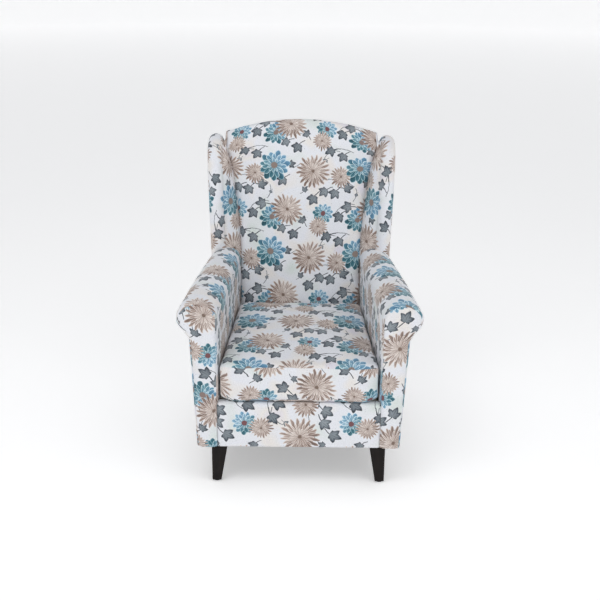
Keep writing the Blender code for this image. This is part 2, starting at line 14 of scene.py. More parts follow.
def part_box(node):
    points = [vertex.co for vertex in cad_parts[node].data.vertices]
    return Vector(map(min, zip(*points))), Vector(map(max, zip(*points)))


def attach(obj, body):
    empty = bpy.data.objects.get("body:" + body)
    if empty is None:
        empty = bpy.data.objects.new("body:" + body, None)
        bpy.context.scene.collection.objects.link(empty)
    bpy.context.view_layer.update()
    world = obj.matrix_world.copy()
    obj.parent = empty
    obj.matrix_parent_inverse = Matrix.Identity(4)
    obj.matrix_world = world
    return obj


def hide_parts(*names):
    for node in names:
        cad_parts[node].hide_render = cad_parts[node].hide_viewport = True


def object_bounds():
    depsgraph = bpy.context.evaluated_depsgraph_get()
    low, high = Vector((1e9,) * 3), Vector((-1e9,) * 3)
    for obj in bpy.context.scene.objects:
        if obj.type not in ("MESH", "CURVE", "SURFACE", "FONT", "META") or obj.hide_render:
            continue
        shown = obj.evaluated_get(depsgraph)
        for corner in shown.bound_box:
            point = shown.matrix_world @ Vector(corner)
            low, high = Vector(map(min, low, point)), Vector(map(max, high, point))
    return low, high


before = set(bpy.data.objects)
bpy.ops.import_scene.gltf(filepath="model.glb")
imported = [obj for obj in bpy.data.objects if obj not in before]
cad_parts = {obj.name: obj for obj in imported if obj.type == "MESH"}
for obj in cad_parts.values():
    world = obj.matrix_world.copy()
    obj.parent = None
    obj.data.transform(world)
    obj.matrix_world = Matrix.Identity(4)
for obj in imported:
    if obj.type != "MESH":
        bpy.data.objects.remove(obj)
CAD_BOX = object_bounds()
FRONT = CAD_BOX[0].y
BASE_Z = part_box("outside_back")[0].z
MM = 0.001

# Shapes of the upholstery, as the frame has them.
ARM_TOP = 0.638
ARM_FOOT = 0.268
ARM_EASE = 0.016  # how far back the roll's front edge is rounded
ROLL_HALF_HEIGHT = 0.050
ROLL_FULLNESS = 0.62  # the roll hangs a little fuller below its outermost line
FACING_INSET = 0.0055
ARM_END = 0.600
ARM_INNER = (0.2595, 0.2165)
ARM_OUTER = (0.384, 0.3205)
ROLL_END_ANGLE = (-60.0, -12.0)
WALL_X = (0.328, 0.346)
WALL_TOP = 0.535
SEAM_Z = (0.538, 0.5745)
OUTER_BACK = ((0.665, BASE_Z), (0.800, 1.024))
SIDE_X = (0.314, 0.336)
CREST_DROP = 0.047
CREST_HALF = 0.273
BACK_HALF = (0.2155, CREST_HALF)
BACK_FOOT = 0.301
BACK_SINK = 0.014  # how far the back draws in beside the wings
BACK_PROFILE = (
    (0.520, BACK_FOOT), (0.545, 0.430), (0.582, 0.570), (0.625, 0.730), (0.667, 0.890),
    (0.690, 0.975), (0.708, 1.030), (0.745, 1.069), (0.785, 1.056), (0.800, 1.0245),
)  # fmt: skip
WING_EDGE = (
    (0.556, 0.590), (0.553, 0.660), (0.557, 0.740), (0.572, 0.835), (0.597, 0.918),
    (0.634, 0.981), (0.685, 1.012), (0.735, 1.018), (0.776, 1.006), (0.7985, 0.980),
)  # fmt: skip
WING_ROLL = 0.026
WING_LEG = 0.040
WING_FIRST = 6 / 18  # where up the back's profile the wing's crease starts
WING_TURN = (0.5, 0.88)  # where across a wing's cover its rolled edge starts and ends
CUSHION_FOOT, CUSHION_EDGE = 0.2985, 0.416
CUSHION_RISE = 0.026
CUSHION_CROWN = 0.018
CUSHION_HALF = (0.2560, 0.2165)
CUSHION_FRONT = 0.003
CUSHION_REAR = (0.505, 0.535)
CUSHION_MIDDLE = 0.265
CUSHION_SHRINK = 0.0004
CUSHION_BLOWN = 0.011  # no point of the cushion is blown out further
CUSHION_CELLS, BOXING_CELLS = 56, 14
SIDES = (("left", -1), ("right", 1))

# Where the print lies. These flowers, in the print's own millimetres, are the ones that panels are laid by.
BLUE_LARGE, BLUE_HIDDEN, BLUE_SMALL, TAUPE_RIGHT = (0, 0), (1, 128), (-130, 150), (145, -16)
# For each side's arm: a place, the flower that lies there, the print's turn in degrees and its repeat.
ARM_PRINT = {
    -1: (Vector((-0.238, FRONT + 0.156, 0.61)), BLUE_LARGE, 0, 0.320),
    1: (Vector((0.338, FRONT + 0.012, 0.62)), BLUE_LARGE, 0, 0.320),
}
FACING_PRINT = {
    -1: (Vector((-0.304, FRONT, 0.332)), BLUE_HIDDEN, -90, 0.330),
    1: (Vector((0.312, FRONT, 0.497)), TAUPE_RIGHT, 180, 0.330),
}

CAMERA_LENS = 60.2
CAMERA_DIP = 20.4
CAMERA_ROLL = 0.6
CAMERA_PLACE = (0.0, FRONT - 2.87, 1.72)


# Colour and nodes.


def srgb(code):
    """Linear colour from an sRGB hex value."""
    parts = [int(code[i : i + 2], 16) / 255 for i in (1, 3, 5)]
    return (*[c / 12.92 if c <= 0.04045 else ((c + 0.055) / 1.055) ** 2.4 for c in parts], 1.0)


def link(tree, node, inputs):
    """Links each of a node's inputs to a node or socket, or sets it to a value."""
    pairs = inputs.items() if isinstance(inputs, dict) else enumerate(inputs)
    for key, value in pairs:
        if isinstance(value, bpy.types.Node):
            value = value.outputs[0]
        if isinstance(value, bpy.types.NodeSocket):
            tree.links.new(value, node.inputs[key])
        else:
            node.inputs[key].default_value = value


def add(tree, kind, inputs=(), operation=None, **settings):
    """A node with its settings and its inputs, by place or by name."""
    made = tree.nodes.new(kind)
    if operation:
        made.operation = operation
    for name, value in settings.items():
        setattr(made, name, value)
    link(tree, made, inputs)
    return made


MATH, VECTOR, MIX = "ShaderNodeMath", "ShaderNodeVectorMath", "ShaderNodeMix"
RAMP, RANGE, NOISE = "ShaderNodeValToRGB", "ShaderNodeMapRange", "ShaderNodeTexNoise"
GROUP, BUMP = "ShaderNodeGroup", "ShaderNodeBump"
# A range's inputs are its value, from which and to which it runs, and from which and to which it comes out.


def stops(ramp, *pairs):
    """Sets a colour ramp's stops, each a place and a hex colour."""
    elements = ramp.color_ramp.elements
    while len(elements) < len(pairs):
        elements.new(0.5)
    for element, (place, code) in zip(elements, pairs):
        element.position = place
        element.color = srgb(code)
    return ramp


def group(name, inputs, outputs):
    """A node group, its input node and its output node. Its sockets are named in a line of words."""
    tree = bpy.data.node_groups.new(name, "ShaderNodeTree")
    kinds = {"Place": "NodeSocketVector", "Cloth": "NodeSocketVector", "Colour": "NodeSocketColor"}
    for names, way in ((inputs, "INPUT"), (outputs, "OUTPUT")):
        for label in names.split():
            tree.interface.new_socket(label, in_out=way, socket_type=kinds.get(label, "NodeSocketFloat"))
    return tree, tree.nodes.new("NodeGroupInput"), tree.nodes.new("NodeGroupOutput")


# The printed flowers. Sizes are millimetres on the cloth, which repeats every 320 mm each way.
# Each flower is across, up, radius, kind and how far its petals are turned.

REPEAT = 320 * MM
BLUE, TAUPE = 0.0, 1.0
PETAL_TAPER = (0.62, 0.50)  # how far out a petal starts to narrow, for blue and for taupe
LOWER_FLOWERS = ((-70, -33, 44, TAUPE, 2.3), (1, 128, 50, BLUE, 0.7), (-130, 150, 43, BLUE, 3.1))
UPPER_FLOWERS = (
    (0, 0, 62, BLUE, 0.2), (145, -16, 66, TAUPE, 1.1), (56, 160, 64, TAUPE, 4.4), (173, 100, 40, TAUPE, 3.6),
)  # fmt: skip
# Each leaf is across, up, length and the way that its tip points, in degrees.
LEAVES_BELOW = (
    (-65, 50, 33, 240), (-130, 27, 15, 240), (84, 72, 33, 240), (-70, 141, 34, 235),
    (-90, -93, 33, 240), (117, -86, 20, 60), (62, 6, 24, 20), (34, -52, 32, 235), (150, -116, 34, 245),
)  # fmt: skip
LEAVES_ABOVE = (
    (-111, 67, 33, 215), (41, 91, 29, 215), (116, 121, 26, 140), (-37, -143, 34, 190),
    (-129, -88, 32, 225), (-46, -74, 32, 10), (-8, -98, 11, 250),
)  # fmt: skip
# Each tendril is an arc: its centre, its radius, and the middle and half spread of its angle, in degrees.
TENDRILS = (
    (-102, 128, 150, 96, 40), (-63, 0, 80, 109, 46), (84, 32, 90, 101, 36), (-29, 127, 60, 118, 44),
    (60, 44, 50, 292, 26), (-54, -92, 46, 350, 34), (-100, 10, 60, 95, 26), (30, -110, 62, 96, 24),
)  # fmt: skip


def petal_ring():
    """One ring of petals: a rounded tongue in each of Count sectors, each of its own length."""
    names = "Distance Angle Count Turn Reach Width Taper"
    tree, given, result = group("petal ring", names, "Cover Rim Along Across Chance")
    distance, angle, count, turn, reach, width, taper = given.outputs[:7]
    around = add(tree, MATH, (angle, count), "MULTIPLY")
    sectors = add(tree, MATH, (around, 0.5 / math.pi, turn), "MULTIPLY_ADD")
    number = add(tree, MATH, (add(tree, MATH, (sectors,), "FLOOR"), count), "FLOORED_MODULO")
    across = add(tree, MATH, (add(tree, MATH, (sectors,), "FRACT"), 0.5), "SUBTRACT")
    seed = add(tree, MATH, (turn, 7.31, number), "MULTIPLY_ADD")
    chance = add(tree, "ShaderNodeTexWhiteNoise", {"W": seed}, noise_dimensions="1D").outputs["Value"]
    own = add(tree, MATH, (chance, -0.16, 1.0), "MULTIPLY_ADD")
    along = add(tree, MATH, (distance, add(tree, MATH, (own, reach), "MULTIPLY")), "DIVIDE")
    tip = add(tree, RANGE, (along, taper, 1.0))
    squared = add(tree, MATH, (tip, 2.0), "POWER")
    narrowing = add(tree, MATH, (add(tree, MATH, (1.0, squared), "SUBTRACT"),), "SQRT")
    half = add(tree, MATH, (width, narrowing), "MULTIPLY")
    inside = add(tree, MATH, (half, add(tree, MATH, (across,), "ABSOLUTE")), "SUBTRACT")
    cover = add(tree, RANGE, (inside, 0.0, 0.05), interpolation_type="SMOOTHSTEP")
    rim = add(tree, RANGE, (inside, 0.05, 0.17, 1.0, 0.0))
    link(tree, result, (cover, rim, along, across, chance))
    return tree


def flower(ring):
    """A whole flower: three rings of petals and an eye. Place holds x, y and a number for its kind and turn."""
    tree, given, result = group("flower", "Place", "Colour Cover")
    x, y, code = add(tree, "ShaderNodeSeparateXYZ", (given.outputs[0],)).outputs
    flat = add(tree, VECTOR, (given.outputs[0], (1, 1, 0)), "MULTIPLY")
    distance = add(tree, VECTOR, (flat,), "LENGTH").outputs["Value"]
    angle = add(tree, MATH, (y, x), "ARCTAN2")
    kind = add(tree, MATH, (code, 9.5), "GREATER_THAN")
    turn = add(tree, MATH, (code, 10.0), "FLOORED_MODULO")
    count = add(tree, MATH, (kind, 9.0, 11.0), "MULTIPLY_ADD")
    # The light falls on each painted flower from its upper right.
    slope = add(tree, MATH, (x, y), "ADD")
    aside = add(tree, MATH, (slope, 0.13, 0.02), "MULTIPLY_ADD")
    layers = (
        # turn offset, reach for blue and taupe, petal width for blue and taupe, lightness
        (0.0, (1.0, 1.0), (0.50, 0.43), 0.28),
        (0.43, (0.80, 0.78), (0.46, 0.40), 0.42),
        (0.21, (0.50, 0.50), (0.42, 0.42), 0.52),
    )
    # Under the petals lies the dark tone that shows between them.
    colour = 0.04
    cover = add(tree, MATH, (distance, 0.66), "LESS_THAN")
    for offset, reach, width, light in layers:
        values = [distance, angle, count, add(tree, MATH, (turn, offset), "ADD")]
        for blue, brown in (reach, width, PETAL_TAPER):
            values.append(add(tree, MATH, (kind, brown - blue, blue), "MULTIPLY_ADD"))
        shown, rim, along, across, chance = add(tree, GROUP, values, node_tree=ring).outputs
        tone = light - 0.22
        for part, weight in ((along, 0.26), (across, 0.34), (chance, 0.26), (rim, 0.52), (aside, 1.0)):
            tone = add(tree, MATH, (part, weight, tone), "MULTIPLY_ADD")
        colour = add(tree, MIX, {0: shown, 2: colour, 3: tone}, data_type="FLOAT")
        cover = add(tree, MATH, (cover, shown), "MAXIMUM")
    sky, teal, taupe = (
        stops(add(tree, RAMP, (colour,)), *zip(places, codes))
        for places, codes in (
            ((0.0, 0.3, 0.58, 0.8, 1.0), ("#23404f", "#3d6c8b", "#6e9cba", "#acccdd", "#e2eff4")),
            ((0.0, 0.3, 0.58, 0.8, 1.0), ("#203c45", "#356774", "#6594a2", "#a8cad2", "#deeef0")),
            ((0.0, 0.26, 0.5, 0.74, 1.0), ("#5f4e47", "#86736a", "#aa978d", "#d3c6be", "#f2ece8")),
        )
    )
    side = add(tree, RANGE, (slope, -0.5, 0.6))
    blue = add(tree, MIX, {0: side, 6: teal, 7: sky}, data_type="RGBA")
    petals = add(tree, MIX, {0: kind, 6: blue.outputs[2], 7: taupe}, data_type="RGBA")
    eye_size = add(tree, MATH, (kind, -0.105, 0.22), "MULTIPLY_ADD")
    eye_core = add(tree, MATH, (eye_size, 0.05), "SUBTRACT")
    eye = add(tree, RANGE, (distance, eye_size, eye_core), interpolation_type="SMOOTHSTEP")
    warmth = add(tree, MATH, (turn, 0.32), "MULTIPLY")
    blue_eye = stops(add(tree, RAMP, (warmth,)), (0.0, "#8d8078"), (1.0, "#7a4f52"))
    eye_colour = add(tree, MIX, {0: kind, 6: blue_eye, 7: srgb("#7d6a5f")}, data_type="RGBA")
    whole = add(tree, MIX, {0: eye, 6: petals.outputs[2], 7: eye_colour.outputs[2]}, data_type="RGBA")
    link(tree, result, (whole.outputs[2], add(tree, MATH, (cover, eye), "MAXIMUM")))
    return tree


def leaf():
    """An ivy leaf whose tip points along +x, with its stalk behind it."""
    tree, given, result = group("leaf", "Place", "Colour Cover")
    x, y, code = add(tree, "ShaderNodeSeparateXYZ", (given.outputs[0],)).outputs
    shifted = add(tree, MATH, (x, 0.28), "ADD")
    angle = add(tree, MATH, (y, shifted), "ARCTAN2")
    distance = add(tree, VECTOR, (add(tree, "ShaderNodeCombineXYZ", (shifted, y)),), "LENGTH").outputs["Value"]
    # Five pointed lobes, 48 degrees apart, shorter towards the stalk.
    lobe = add(tree, MATH, (add(tree, MATH, (angle, 180 / 48 / math.pi), "MULTIPLY"), 0.5), "PINGPONG")
    behind = add(tree, MATH, (add(tree, MATH, (angle, 0.84), "MULTIPLY"),), "COSINE")
    size = add(tree, MATH, (behind, 0.86, 0.30), "MULTIPLY_ADD")
    notch = add(tree, MATH, (lobe, -0.72, 1.0), "MULTIPLY_ADD")
    inside = add(tree, MATH, (add(tree, MATH, (size, notch), "MULTIPLY"), distance), "SUBTRACT")
    blade = add(tree, RANGE, (inside, 0.0, 0.07), interpolation_type="SMOOTHSTEP")
    bend = add(tree, MATH, (add(tree, MATH, (x, x), "MULTIPLY"), -0.30, y), "MULTIPLY_ADD")
    beside = add(tree, MATH, (add(tree, MATH, (bend,), "ABSOLUTE"), 0.05), "LESS_THAN")
    stalk = add(tree, MATH, (beside, add(tree, MATH, (x, 0.0), "LESS_THAN")), "MULTIPLY")
    tone = add(tree, RANGE, (inside, 0.03, 0.34, 0.0, 0.58))
    vein = add(tree, RANGE, (lobe, 0.02, 0.13, -0.26, 0.0))
    for part, weight in ((vein, 1.0), (y, 0.16), (code, 0.16)):
        tone = add(tree, MATH, (part, weight, tone), "MULTIPLY_ADD")
    colour = stops(add(tree, RAMP, (tone,)), (0.0, "#30373e"), (0.3, "#555d66"), (0.65, "#828b91"), (1.0, "#b6bec1"))
    link(tree, result, (colour, add(tree, MATH, (blade, stalk), "MAXIMUM")))
    return tree


def chosen_motif(tree, place, motifs):
    """The place within whichever motif is here: x and y from its middle in its own size, and its code in z."""
    found = add(tree, "ShaderNodeCombineXYZ", (9.0, 9.0, 0.0))
    for across, up, size, turned, code in motifs:
        away = add(tree, VECTOR, (place, (across * MM, up * MM, 0)), "SUBTRACT")
        away = add(tree, VECTOR, (away, (REPEAT / 2,) * 3, (-REPEAT / 2,) * 3), "WRAP")
        local = add(tree, VECTOR, {"Vector": away, "Scale": 1 / (size * MM)}, "SCALE")
        if turned:
            rotation = {"Vector": local, "Angle": -math.radians(turned)}
            local = add(tree, "ShaderNodeVectorRotate", rotation, rotation_type="Z_AXIS")
        length = add(tree, VECTOR, (local,), "LENGTH").outputs["Value"]
        inside = add(tree, MATH, (length, 1.06), "LESS_THAN")
        local = add(tree, VECTOR, (local, (0, 0, code)), "ADD")
        found = add(tree, MIX, {0: inside, 4: found, 5: local}, data_type="VECTOR").outputs[1]
    return found


def flower_print():
    """The whole printed pattern: tinted ground, leaves with their tendrils, and two layers of flowers."""
    tree, given, result = group("flower print", "Cloth", "Colour")
    cloth = given.outputs[0]
    # A hand-painted wobble of about 1 mm.
    wobble = add(tree, NOISE, {"Vector": cloth, "Scale": 1 / (13 * MM), "Detail": 1.0}).outputs["Color"]
    wobble = add(tree, VECTOR, (wobble, (0.5, 0.5, 0.5)), "SUBTRACT")
    place = add(tree, VECTOR, (wobble, (5.0 * MM, 5.0 * MM, 0), cloth), "MULTIPLY_ADD")
    washes = add(tree, NOISE, {"Vector": cloth, "Scale": 1 / (120 * MM), "Detail": 1.5, "Roughness": 0.4})
    ground = stops(
        add(tree, RAMP, (washes,)),
        (0.30, "#d9e1dd"), (0.42, "#e6e8ec"), (0.52, "#e6e8ee"), (0.62, "#e9e5e1"), (0.72, "#e0dde6"),
    )  # fmt: skip
    specks = add(tree, "ShaderNodeTexVoronoi", {"Vector": cloth, "Scale": 1 / (11 * MM)}, voronoi_dimensions="2D")
    speck_size = add(tree, MATH, (specks.outputs["Color"], 0.33, -0.19), "MULTIPLY_ADD")
    speck = add(tree, MATH, (specks.outputs["Distance"], speck_size), "LESS_THAN")
    speck = add(tree, MATH, (speck, 0.55), "MULTIPLY")
    ground = add(tree, MIX, {0: speck, 6: ground, 7: srgb("#8d8f96")}, data_type="RGBA").outputs[2]
    line = None
    for across, up, radius, middle, spread in TENDRILS:
        away = add(tree, VECTOR, (place, (across * MM, up * MM, 0)), "SUBTRACT")
        away = add(tree, VECTOR, (away, (REPEAT / 2,) * 3, (-REPEAT / 2,) * 3), "WRAP")
        length = add(tree, VECTOR, (away,), "LENGTH").outputs["Value"]
        on_arc = add(tree, MATH, (length, radius * MM, 1.1 * MM), "COMPARE")
        way = (math.cos(math.radians(middle)), math.sin(math.radians(middle)), 0)
        towards = add(tree, VECTOR, (add(tree, VECTOR, (away,), "NORMALIZE"), way), "DOT_PRODUCT").outputs["Value"]
        within = add(tree, MATH, (towards, math.cos(math.radians(spread))), "GREATER_THAN")
        arc = add(tree, MATH, (on_arc, within), "MULTIPLY")
        line = arc if line is None else add(tree, MATH, (line, arc), "MAXIMUM")
    ground = add(tree, MIX, {0: line, 6: ground, 7: srgb("#6b7176")}, data_type="RGBA").outputs[2]
    leaf_group, flower_group = leaf(), flower(petal_ring())
    # A leaf's code is its own shade; a flower's is its turn, with 10 more for taupe.
    layers = [
        (leaf_group, [(across, up, size, turned, (across * 7 + up) % 10 / 10) for across, up, size, turned in leaves])
        for leaves in (LEAVES_BELOW, LEAVES_ABOVE)
    ]
    layers += [
        (flower_group, [(across, up, size, 0, turn + 10 * kind) for across, up, size, kind, turn in flowers])
        for flowers in (LOWER_FLOWERS, UPPER_FLOWERS)
    ]
    for motif, motifs in layers:
        drawn = add(tree, GROUP, (chosen_motif(tree, place, motifs),), node_tree=motif)
        inputs = {0: drawn.outputs[1], 6: ground, 7: drawn.outputs[0]}
        ground = add(tree, MIX, inputs, data_type="RGBA").outputs[2]
    # Ink that took unevenly.
    ink = add(tree, NOISE, {"Vector": cloth, "Scale": 1 / (4 * MM), "Detail": 2.0})
    uneven = add(tree, RANGE, (ink, 0.3, 0.7, 0.93, 1.05))
    link(tree, result, (add(tree, VECTOR, {"Vector": ground, "Scale": uneven}, "SCALE"),))
    return tree


def material(name, **values):
    """A new material, its tree and its shader, with constant values set on the shader's own sockets."""
    made = bpy.data.materials.new(name)
    made.use_nodes = True
    shader = made.node_tree.nodes["Principled BSDF"]
    for key, value in values.items():
        shader.inputs[key.replace("_", " ").title() if key != "ior" else "IOR"].default_value = value
    return made, made.node_tree, shader


def surface(tree, shader, colour, normal):
    """Links a colour and a normal to the shader."""
    link(tree, shader, {"Base Color": colour, "Normal": normal})


def woven(tree, place, spacing, depth):
    """The normal of a plain weave: warp and weft that cross over and under."""
    size = math.pi / spacing
    scaled = add(tree, VECTOR, {"Vector": place, "Scale": size}, "SCALE")
    parts = add(tree, "ShaderNodeSeparateXYZ", (scaled,))
    warp = add(tree, MATH, (parts.outputs[0],), "SINE")
    weft = add(tree, MATH, (parts.outputs[1],), "SINE")
    height = add(tree, MATH, (warp, weft), "MULTIPLY")
    return add(tree, BUMP, {"Strength": 0.35, "Distance": depth, "Height": height})


def printed_cotton():
    """Printed cotton half-panama: a matt plain weave with a soft nap, so it is pale and has no shine."""
    made, tree, shader = material("printed_cotton", roughness=0.82, ior=1.46, sheen_weight=0.25, sheen_roughness=0.45)
    cloth = add(tree, "ShaderNodeUVMap", uv_map="cloth")
    pattern = add(tree, GROUP, (cloth,), node_tree=flower_print())
    # Threads are 0.5 mm apart; drawn at 1.5 mm so that they show.
    weave = woven(tree, cloth, 1.5 * MM, 0.25 * MM)
    creases = add(tree, NOISE, {"Vector": cloth, "Scale": 1 / (55 * MM), "Detail": 3.0, "Roughness": 0.55})
    normal = add(tree, BUMP, {"Strength": 0.6, "Distance": 1.2 * MM, "Height": creases, "Normal": weave})
    surface(tree, shader, pattern, normal)
    return made


def plain_cloth(name, dark, light, spacing, roughness=0.9):
    """Undyed or single-colour woven cloth."""
    made, tree, shader = material(name, roughness=roughness, sheen_weight=0.1)
    place = add(tree, "ShaderNodeTexCoord").outputs["Object"]
    mottle = add(tree, NOISE, {"Vector": place, "Scale": 1 / (6 * MM), "Detail": 4.0})
    colour = stops(add(tree, RAMP, (mottle,)), (0.3, dark), (0.7, light))
    surface(tree, shader, colour, woven(tree, place, spacing, 0.3 * MM))
    return made


def wood(name, dark, light, grain_width, roughness, specular=0.5):
    """Straight-grained hardwood: the grain runs up the piece."""
    made, tree, shader = material(name, roughness=roughness, ior=1.52)
    place = add(tree, "ShaderNodeTexCoord").outputs["Object"]
    stretched = add(tree, VECTOR, (place, (1.0, 1.0, 0.06)), "MULTIPLY")
    bands = {"Vector": stretched, "Scale": 1 / grain_width, "Detail": 5.0, "Roughness": 0.6, "Distortion": 0.6}
    grain = add(tree, NOISE, bands)
    pores = add(tree, NOISE, {"Vector": stretched, "Scale": 6 / grain_width, "Detail": 2.0})
    colour = stops(add(tree, RAMP, (grain,)), (0.32, dark), (0.68, light))
    polish = add(tree, RANGE, (pores, 0.3, 0.7, roughness - 0.06, roughness + 0.1))
    link(tree, shader, {"Roughness": polish, "Specular IOR Level": specular})
    height = add(tree, MATH, (pores, grain), "ADD")
    normal = add(tree, BUMP, {"Strength": 0.25, "Distance": 0.3 * MM, "Height": height})
    surface(tree, shader, colour, normal)
    return made


def spotted(name, dark, light, size, roughness, metallic=0.0, depth=0.15):
    """A surface with fine mottling, such as moulded plastic or drawn steel."""
    made, tree, shader = material(name, roughness=roughness, metallic=metallic)
    place = add(tree, "ShaderNodeTexCoord").outputs["Object"]
    spots = add(tree, NOISE, {"Vector": place, "Scale": 1 / size, "Detail": 3.0})
    colour = stops(add(tree, RAMP, (spots,)), (0.35, dark), (0.65, light))
    normal = add(tree, BUMP, {"Strength": 0.3, "Distance": depth * MM, "Height": spots})
    surface(tree, shader, colour, normal)
    return made


def zip_tape():
    """Woven polyester tape with a moulded coil of teeth down its middle."""
    made, tree, shader = material("zip_tape_polyester", roughness=0.75)
    place = add(tree, "ShaderNodeTexCoord").outputs["Object"]
    parts = add(tree, "ShaderNodeSeparateXYZ", (place,))
    teeth = add(tree, MATH, (add(tree, MATH, (parts.outputs[0], math.pi / (1.4 * MM)), "MULTIPLY"),), "SINE")
    middle = add(tree, MATH, (parts.outputs[2], 0.345, 2.6 * MM), "COMPARE")
    shade = add(tree, MATH, (add(tree, MATH, (teeth, 0.5, 0.5), "MULTIPLY_ADD"), middle), "MULTIPLY")
    colour = stops(add(tree, RAMP, (shade,)), (0.0, "#c9cbd0"), (1.0, "#8f949b"))
    normal = add(tree, BUMP, {"Strength": 0.5, "Distance": 0.5 * MM, "Height": shade})
    surface(tree, shader, colour, normal)
    return made


# Geometry of the upholstery.


def point(x, depth, z):
    return Vector((x, FRONT + depth, z))


def mix(pair, t):
    return pair[0] + (pair[1] - pair[0]) * t


def clamp(t):
    return min(1.0, max(0.0, t))


def smooth(t):
    t = clamp(t)
    return t * t * (3 - 2 * t)


def between(a, b, c, d, s):
    """The Catmull-Rom value at a share s of the way from b to c."""
    return 0.5 * (2 * b + (c - a) * s + (2 * a - 5 * b + 4 * c - d) * s**2 + (3 * b - a - 3 * c + d) * s**3)


@functools.cache
def curve_table(points):
    """Close places on the smooth curve through the points, and how far along it each lies."""
    padded = [points[0], *points, points[-1]]
    fine = []
    for near in zip(padded, padded[1:], padded[2:], padded[3:]):
        for i in range(12):
            fine.append(tuple(between(*values, i / 12) for values in zip(*near)))
    fine.append(tuple(points[-1]))
    lengths = [0.0]
    for a, b in zip(fine, fine[1:]):
        lengths.append(lengths[-1] + math.dist(a, b))
    return fine, lengths


def curve_at(points, t):
    """A place on the smooth curve through the points, t from 0 to 1 by arc length."""
    fine, lengths = curve_table(points)
    goal = t * lengths[-1]
    low = 0
    while low < len(fine) - 2 and lengths[low + 1] < goal:
        low += 1
    span = lengths[low + 1] - lengths[low]
    s = (goal - lengths[low]) / span if span else 0.0
    return tuple(a + (b - a) * s for a, b in zip(fine[low], fine[low + 1]))


def outer_back(z):
    (d0, z0), (d1, z1) = OUTER_BACK
    return d0 + (d1 - d0) * (z - z0) / (z1 - z0)


def side_x(z):
    return mix(SIDE_X, ((z - BASE_Z) / (OUTER_BACK[1][1] - BASE_Z)) ** 2)


def wall_x(depth, z):
    front = mix(WALL_X, (z - BASE_Z) / (WALL_TOP - BASE_Z))
    return mix((front, side_x(z)), depth / OUTER_BACK[0][0])


def back_half(z):
    return mix(BACK_HALF, clamp((z - 0.56) / 0.46) ** 1.7)


def arched(z):
    """How much of the crest's arch is felt at a height, from 0 to 1."""
    return clamp((z - 0.90) / 0.12)


def crest_drop(x):
    return CREST_DROP * min(1.0, (x / CREST_HALF) ** 2)


def arm_section(depth, inset, t):
    """The arm's roll in section at t from 0 to 1: up the inside wall, over the roll, to where it tucks under."""
    along = min(1.0, depth / ARM_END)
    inner, outer = mix(ARM_INNER, along), mix(ARM_OUTER, along)
    wide, high = (outer - inner) / 2, ROLL_HALF_HEIGHT
    middle = ARM_TOP - ROLL_HALF_HEIGHT
    end = math.radians(mix(ROLL_END_ANGLE, along))
    wall = middle - ARM_FOOT
    arc = (math.pi - end) * (wide + high) / 2
    share = wall / (wall + arc)
    if t < share:
        return inner + inset, mix((ARM_FOOT, middle), t / share)
    angle = math.pi + (end - math.pi) * (t - share) / (1 - share)
    x = (inner + outer) / 2 + (wide - inset) * roll_reach(math.cos(angle), angle)
    return x, middle + (high - inset) * math.sin(angle)


def roll_reach(reach, rise):
    """How far out the roll reaches, where rise is below nothing under its outermost line."""
    return reach**ROLL_FULLNESS if rise < 0 and reach > 0 else reach


def wrinkle(place, size, seed):
    return noise.noise(place / size + Vector((seed, seed * 1.7, -seed)))


def grid(count, columns, place):
    """Rows of what place gives for how far up and how far across, each from 0 to 1."""
    return [[place(r / count, c / columns) for c in range(columns + 1)] for r in range(count + 1)]


def as_object(name, bm):
    """The new object that a finished bmesh becomes."""
    mesh = bpy.data.meshes.new(name)
    bm.to_mesh(mesh)
    bm.free()
    obj = bpy.data.objects.new(name, mesh)
    bpy.context.scene.collection.objects.link(obj)
    return obj


def panel(name, rows, uv_rows, inner, cloth, node, slot="cloth", thickness=0.0015):
    """A piece of the armchair from a grid of points, with its cloth coordinates, that faces away from inner."""
    bm = bmesh.new()
    layer = bm.loops.layers.uv.new("cloth")
    verts = [[bm.verts.new(p) for p in row] for row in rows]
    for r in range(len(rows) - 1):
        for c in range(len(rows[0]) - 1):
            corners = ((r, c), (r, c + 1), (r + 1, c + 1), (r + 1, c))
            face = bm.faces.new([verts[i][j] for i, j in corners])
            face.smooth = True
            for loop, (i, j) in zip(face.loops, corners):
                loop[layer].uv = uv_rows[i][j]
    bm.normal_update()
    facing = sum(f.normal.dot(f.calc_center_median() - inner) * f.calc_area() for f in bm.faces)
    if facing < 0:
        bmesh.ops.reverse_faces(bm, faces=bm.faces)
    obj = as_object(name, bm)
    shell = obj.modifiers.new("cloth_thickness", "SOLIDIFY")
    shell.thickness = thickness
    shell.offset = -1.0
    return finish_piece(obj, cloth, "armchair", slot, node)


def stretched(obj, rows, *rests_on):
    """Measures the longest row and the longest column of a panel of cloth pulled over the frame, and keeps neither.
    """

    def longest(lines):
        return max(sum((b - a).length for a, b in zip(line, line[1:])) for line in lines)

    longest(rows)
    longest(zip(*rows))


def lay_cloth(rows, middle, base, at=None, motif=(0, 0), turn=0.0, repeat=REPEAT, flip=1):
    """Cloth coordinates in metres: along each row from its middle column, and up the base column.

    The print is turned anticlockwise on the panel, and its motif, in its own millimetres, lies at a place.
    """
    ups = [0.0]
    for low, high in zip(rows, rows[1:]):
        ups.append(ups[-1] + (high[base] - low[base]).length)
    plain = []
    for up, row in zip(ups, rows):
        acrosses = [0.0]
        for a, b in zip(row, row[1:]):
            acrosses.append(acrosses[-1] + (b - a).length)
        plain.append([((across - acrosses[middle]) * flip, up) for across in acrosses])
    origin = (0.0, 0.0)
    if at is not None:
        nearest = min(((p - at).length, r, c) for r, row in enumerate(rows) for c, p in enumerate(row))
        origin = plain[nearest[1]][nearest[2]]
    return [[print_place(u - origin[0], v - origin[1], motif, turn, repeat) for u, v in row] for row in plain]


